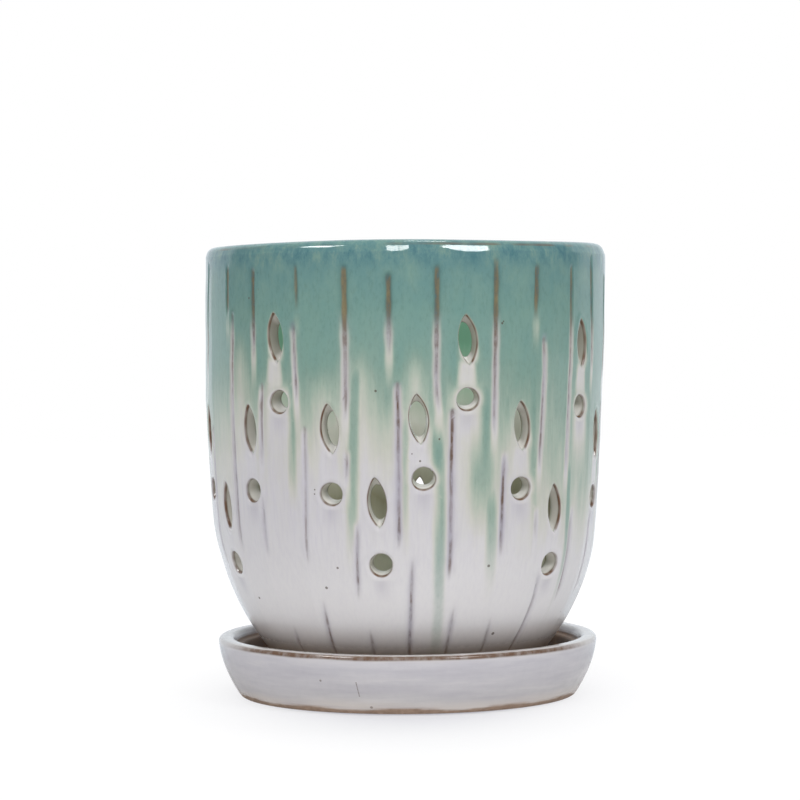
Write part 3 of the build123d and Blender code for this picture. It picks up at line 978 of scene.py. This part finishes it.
def pot_glaze():
    g = Glaze("pot_glaze")
    glaze, groove, ochre, inner, clay, low = map(g.mask, ("glaze", "groove", "ochre", "inner", "clay", "low"))
    streak = g.noise(300, (1, 1, 0.12), 3, 0.55)
    hair = g.noise(900, (1, 1, 0.06), 3, 0.6, 17)
    mottle = g.noise(420, (1, 1, 0.6), 4, 0.6, 3)
    broad = g.noise(95, (1, 1, 0.1), 2, 0.5, 5)
    grain = g.noise(820, (1, 1, 0.4), 5, 0.7, 13)
    flow = g.noise(210, (1, 1, 0.22), 3, 0.6, 7)
    cloud = g.noise(95, (1, 1, 0.7), 4, 0.6, 19)
    # green over white, streaked and mottled
    part = g.ramp(glaze, [(0, 0.1), (0.25, 1), (0.6, 0.8), (0.9, 0.3)])
    amount = g.add(glaze, g.mul(g.mul(g.sub(streak, 0.5), part), 0.29))
    amount = g.add(amount, g.mul(g.mul(g.sub(hair, 0.5), part), 0.16))
    amount = g.add(amount, g.mul(g.sub(mottle, 0.5), 0.06), True)
    thin = g.sub(1, amount, True)
    colour = g.ramp(amount, [
        (0, "cccace"), (0.06, "c9c8c2"), (0.13, "bfc1b6"), (0.26, "acb7aa"), (0.4, "98ab9e"),
        (0.52, "87a094"), (0.63, "7c9b90"), (0.74, "759890"), (0.85, "6e938c"), (1, "668c8a"),
    ])
    warm = g.ramp(broad, [(0.36, 0), (0.66, 1)])
    colour = g.mix(g.mul(g.mul(warm, thin), 0.14), colour, "cdcabf")
    # painted light: the lower wall, which faces down, is made lighter
    colour = g.mix(g.mul(low, thin), colour, "dddbdc")
    depth = g.ramp(grain, [(0.3, 0.74), (0.5, 0.96), (0.7, 1)])
    colour = g.mix(g.mul(amount, 0.75), colour, depth, "MULTIPLY")
    veil = g.mul(g.ramp(hair, [(0.42, 0), (0.7, 1)]), g.sub(0.29, amount, True))
    colour = g.mix(g.mul(veil, g.sub(1, g.mul(low, 0.7))), colour, "bcb7c6")
    milky = g.mul(g.ramp(cloud, [(0.42, 0), (0.7, 0.5)]), g.sub(g.mul(amount, 2.2), 1.2, True))
    colour = g.mix(milky, colour, "84a191")
    # grooves: ochre above, lilac and brown below, with painted shade beside them
    lilac = g.ramp(flow, [(0.34, "8f8a98"), (0.44, "746a6c"), (0.54, "6e5a4e")])
    rusty = g.ramp(g.add(g.mul(flow, 0.6), g.mul(grain, 0.4)),
                   [(0.38, "546c6e"), (0.46, "686557"), (0.58, "7e7255"), (0.7, "8c8264")])
    # painted shade beside the grooves and under the holes: dark teal up high, lilac grey lower down
    edge = g.mul(g.mask("gedge"), g.add(g.mul(ochre, 0.2), 0.5))
    colour = g.mix(edge, colour, g.mix(ochre, "a29dad", "45645f"))
    broken = g.ramp(g.add(g.mul(flow, 0.55), g.mul(mottle, 0.45)), [(0.4, 0.3), (0.56, 1)])
    core = g.mul(groove, g.add(g.mul(ochre, 0.05), 0.9))
    colour = g.mix(g.mul(core, g.most(broken, ochre)), colour, g.mix(ochre, lilac, rusty))
    # inside, rim and cuts
    # inside: pale cream at the floor, a darker olive band low on the wall, then pale grey and green towards
    # the rim
    inside = g.ramp(g.add(glaze, g.mul(g.sub(streak, 0.5), 0.1)), [
        (0, "f0ecde"), (0.12, "d4d0be"), (0.25, "a5a18a"), (0.42, "c6c4b4"),
        (0.6, "e0dfd6"), (0.8, "bdd2be"), (1, "76a58b"),
    ])
    colour = g.mix(inner, colour, inside)
    deepest = g.ramp(g.noise(170, (1, 1, 0.45), 6, 0.78, 11),
                     [(0.34, "416d78"), (0.5, "5d8486"), (0.66, "7a988c")])
    colour = g.mix(g.mul(g.mask("band"), 0.85), colour, deepest)
    colour = g.mix(g.mul(g.mask("high"), 0.25), colour, "86aaa6")
    cut = g.mul(g.mask("cut"), g.sub(1, inner, True))
    colour = g.mix(cut, colour, g.mix(ochre, "cecbc3", "b0aea2"))
    # pooled white glaze, and painted light at the top tips of slots
    colour = g.mix(g.mul(g.mask("pool_and_painted_light"), 0.9), colour, "e2e0da")
    colour = g.mix(g.mask("brk"), colour, "705543")
    # bare clay, and above the saucer painted shade with a painted reflection of its brown well; specks and
    # pinholes
    colour = g.mix(clay, colour, g.ramp(mottle, [(0.3, "9c8872"), (0.7, "b09c86")]))
    dark = g.most(g.specks(115, 0.045, 0.05), g.mul(g.specks(260, 0.05, 0.015, 4), 0.7))
    dark = g.most(dark, g.spots([(wall_point(b, z) / 1000, 0.001 * size) for b, z, size in PINS]))
    colour = g.mix(g.mul(dark, 0.75), colour, "574b42")
    rough = g.add(g.ramp(mottle, [(0.3, 0.05), (0.75, 0.11)]), g.mul(clay, 0.55))
    rough = g.add(rough, g.mul(groove, 0.12))
    height = g.add(g.noise(150, (1, 1, 0.7), 2, 0.5, 9), g.mul(mottle, 0.18))
    height = g.sub(height, g.mul(dark, 0.5))
    return g.done(colour, rough, height, 0.16)


# Marks on the saucer's side: bearing, height and size. The last ones join up to a fine line.
MARKS = [(-26.9, 13.3, 0.5), (-11.8, 2.9, 0.6), (-10.9, 23.4, 0.7)]
MARKS += [(-15.6 + 0.05 * i, 13 - 0.55 * i, 0.28) for i in range(11)]


def on_saucer(b, z):
    """A point on the saucer's side, in metres."""
    r, t = 0.001 * saucer_side(z), math.radians(b)
    return r * math.sin(t), -r * math.cos(t), 0.001 * z


def saucer_glaze():
    g = Glaze("saucer_glaze")
    clay, well = g.mask("clay"), g.mask("cut")
    mottle = g.noise(360, (1, 1, 0.7), 4, 0.6, 2)
    broad = g.noise(40, (1, 1, 1.6), 2, 0.5, 6)
    turned = g.noise(30, (1, 1, 9), 4, 0.6, 12)
    colour = g.ramp(g.add(g.mask("high"), g.mul(g.sub(broad, 0.5), 0.12)), [
        (0, "d6cfc8"), (0.13, "d0cac6"), (0.25, "c0bec0"), (0.4, "c0bec2"),
        (0.75, "c0bec4"), (0.88, "c9c7cc"), (1, "d8d5d2"),
    ])
    colour = g.mix(g.mul(g.ramp(mottle, [(0.3, 0), (0.75, 1)]), 0.15), colour, "d6d3d4")
    colour = g.mix(g.ramp(turned, [(0.5, 0), (0.72, 0.36)]), colour, "a9a5b0")
    colour = g.mix(g.ramp(turned, [(0.28, 0.36), (0.48, 0)]), colour, "dcd9d8")
    colour = g.mix(well, colour, g.ramp(mottle, [(0.3, "75583f"), (0.7, "8d6e50")]))
    line = g.mul(g.mask("brk"), g.ramp(mottle, [(0.32, 0.75), (0.6, 1)]))
    colour = g.mix(line, colour, "6f5747")
    # bare clay at the saucer's foot
    colour = g.mix(clay, colour, g.ramp(mottle, [(0.3, "927b69"), (0.7, "ab9482")]))
    marks = [(on_saucer(b, z), 0.001 * size) for b, z, size in MARKS]
    dark = g.most(g.specks(130, 0.05, 0.06, 1), g.spots(marks))
    colour = g.mix(g.mul(dark, 0.6), colour, "6a5c52")
    rough = g.add(g.ramp(mottle, [(0.3, 0.08), (0.75, 0.16)]), g.mul(clay, 0.5))
    rough = g.add(rough, g.mul(well, 0.4))
    height = g.add(g.noise(140, (1, 1, 1), 2, 0.5, 8), g.mul(mottle, 0.2))
    height = g.sub(height, g.mul(dark, 0.5))
    return g.done(colour, rough, height, 0.3)


pot_piece.data.materials.append(pot_glaze())
saucer_piece.data.materials.append(saucer_glaze())

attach(pot_piece, "pot")
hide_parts("pot")
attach(saucer_piece, "saucer")
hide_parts("saucer")

# Stage: pale floor, white surroundings, soft light
FLOOR_HALF, FLOOR_DROP = 3, -0.0004
SHEEN = (0.88, 0.94, 1, 1)
scene = bpy.context.scene
floor_mesh = bpy.data.meshes.new("floor")
corners = [(x * FLOOR_HALF, y * FLOOR_HALF, FLOOR_DROP) for x, y in ((-1, -1), (1, -1), (1, 1), (-1, 1))]
floor_mesh.from_pydata(corners, [], [(0, 1, 2, 3)])
floor = added("floor", floor_mesh)

# The floor: for the camera a painted shadow, an oval round the saucer that holds the real shadow and fades
# to white further off; else plain white, with a sheen for the glaze
floor_white = bpy.data.materials.new("floor_white")
floor_white.use_nodes = True
n = Nodes(floor_white.node_tree)
path = n.new("LightPath").outputs
spot = n.new("TexCoord").outputs["Object"]
dim = n.out("BsdfDiffuse", Color=(0.36, 0.36, 0.35, 1))
glow = n.out("Emission", Color=(0.93, 0.93, 1, 1), Strength=0.5)
near, far = n.out("AddShader", _0=dim, _1=glow), n.out("Emission", Strength=1.05)
# painted shadow: inside this oval the floor stays darker than white even where no light is blocked
oval = n.out("VectorMath", operation="MULTIPLY", _0=spot, _1=(1.9, 1, 1))
past = n.sub(n.length(oval), 0.079)
ground = n.blend(n.sub(1, n.math("EXPONENT", n.math("DIVIDE", past, -0.06)), True), near, far)
bounce = n.out("BsdfDiffuse", Color=(0.92, 0.91, 0.91, 1))
sheen = n.out("Emission", Color=SHEEN, Strength=n.fade(n.depth(spot), -0.3, 0.3, 0.3, 1))
away = n.fade(n.length(spot), 0.08, 0.16)
lower = n.blend(n.mul(path["Is Glossy Ray"], away), bounce, sheen)
seen = n.most(path["Is Camera Ray"], path["Is Transmission Ray"])
n.new("OutputMaterial", Surface=n.blend(seen, lower, ground))
floor_mesh.materials.append(floor_white)

# The surroundings: white for the camera, an even light, and a room that is darker in front for the glaze
world = bpy.data.worlds.new("studio")
scene.world = world
world.use_nodes = True
n = Nodes(world.node_tree)
path = n.new("LightPath").outputs
way = n.new("TexCoord").outputs["Generated"]
even = n.out("Background", Color=(0.97, 0.985, 1, 1), Strength=0.46)
white = n.out("Background", Color=(1, 1, 1, 1), Strength=1)
room = n.out("Background", Color=SHEEN, Strength=n.fade(n.depth(way), 0.4, 0.54, 0.3, 1))
gloss = n.blend(path["Is Glossy Ray"], even, room)
seen = n.most(path["Is Camera Ray"], path["Is Transmission Ray"])
n.new("OutputWorld", Surface=n.blend(seen, gloss, white))


def softbox(name, at, to, width, height, power, tint=(1, 1, 1), mirrored=True, lit=True):
    """An area lamp at a place, aimed at another. It may be left out of reflections or of plain light."""
    light = bpy.data.lights.new(name, "AREA")
    light.shape, light.size, light.size_y, light.energy, light.color = "RECTANGLE", width, height, power, tint
    ob = added(name, light)
    ob.location = at
    ob.rotation_euler = (Vector(to) - Vector(at)).to_track_quat("-Z", "Y").to_euler()
    ob.visible_glossy, ob.visible_diffuse = mirrored, lit


softbox("key", (0.81, -1.06, 1.22), (0, 0, 0.18), 0.61, 0.28, 10)
softbox("window", (-0.10, -1.34, 1.22), (0, 0, 0.18), 0.22, 0.28, 3)
softbox("fill", (-0.95, -1.1, 1), (0, 0, 0.1), 0.9, 0.9, 6.5, (1, 0.985, 0.97), False)
softbox("edge", (-0.9, -0.44, 1.37), (-0.03, -0.07, 0.18), 0.54, 0.3, 10.5, lit=False)
softbox("strip", (0.135, 0.19, 1.4), (0.03, -0.08, 0.18), 0.36, 0.1, 1.8)

# The camera, fitted to the photograph: its place, how far it looks down, and its roll
CAMERA_AT, CAMERA_DOWN, CAMERA_ROLL = (-0.00247, -1.1264, 0.1431), 1.12, -0.445
cam = bpy.data.cameras.new("camera")
cam.lens, cam.sensor_width, cam.sensor_fit = 122.607, 36, "HORIZONTAL"
cam_ob = added("camera", cam)
tilt = Matrix.Rotation(math.radians(90 - CAMERA_DOWN), 4, "X")
roll = Matrix.Rotation(math.radians(CAMERA_ROLL), 4, "Z")
cam_ob.matrix_world = Matrix.Translation(CAMERA_AT) @ tilt @ roll
scene.camera = cam_ob
scene.view_settings.view_transform = "Standard"
